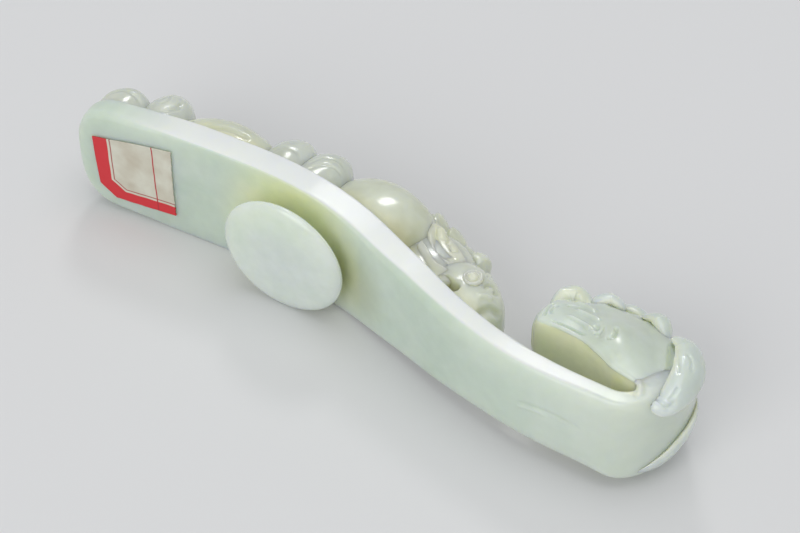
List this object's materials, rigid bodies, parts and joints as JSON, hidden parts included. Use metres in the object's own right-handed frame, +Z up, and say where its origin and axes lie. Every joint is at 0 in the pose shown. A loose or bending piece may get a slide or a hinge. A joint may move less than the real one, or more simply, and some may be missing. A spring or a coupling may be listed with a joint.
{
  "type": "belt hook",
  "caption": "Carved jade belt hook with a dragon's head turned back as the hook, a young dragon in relief and a round button behind.",
  "frame": {"origin": "centre of the footprint, on the surface that the hook lies on", "axes": "+X from the tail end to the dragon's head, +Z up, which is across the hook's width, -Y toward the button"},
  "size_m": [0.128, 0.033, 0.0246],
  "materials": {
    "jade": "pale celadon nephrite, polished to a soft gloss, slightly translucent",
    "jade_relief": "the same polished nephrite, a little warmer where it is carved deep",
    "paper": "cream paper with a printed red border, matt"
  },
  "bodies": {
    "root": {"shank": "jade", "button_stem": "jade", "button": "jade", "hook_neck": "jade", "dragon_head": "jade", "dragon_nose": "jade", "dragon_brow_left": "jade", "dragon_brow_right": "jade", "dragon_cheek_left": "jade", "dragon_cheek_right": "jade", "dragon_ear_left": "jade", "dragon_ear_right": "jade", "dragon_horn_left": "jade", "dragon_horn_right": "jade", "dragon_mane_left": "jade", "dragon_mane_right": "jade", "dragon_mane_ridge": "jade", "chilong_body": "jade_relief", "chilong_mane": "jade_relief", "chilong_head": "jade_relief", "chilong_crest": "jade_relief", "chilong_tail": "jade_relief", "chilong_eye_left": "jade_relief", "chilong_eye_right": "jade_relief", "chilong_leaf_left": "jade_relief", "chilong_leaf_right": "jade_relief", "chilong_foreleg_left": "jade_relief", "chilong_foreleg_right": "jade_relief", "chilong_haunch_left": "jade_relief", "chilong_haunch_right": "jade_relief", "chilong_hindfoot_left": "jade_relief", "chilong_hindfoot_right": "jade_relief", "chilong_tail_fork_left": "jade_relief", "chilong_tail_fork_right": "jade_relief", "chilong_tail_curl_left": "jade_relief", "chilong_tail_curl_right": "jade_relief", "paper_label": "paper"}
  },
  "joints": []
}
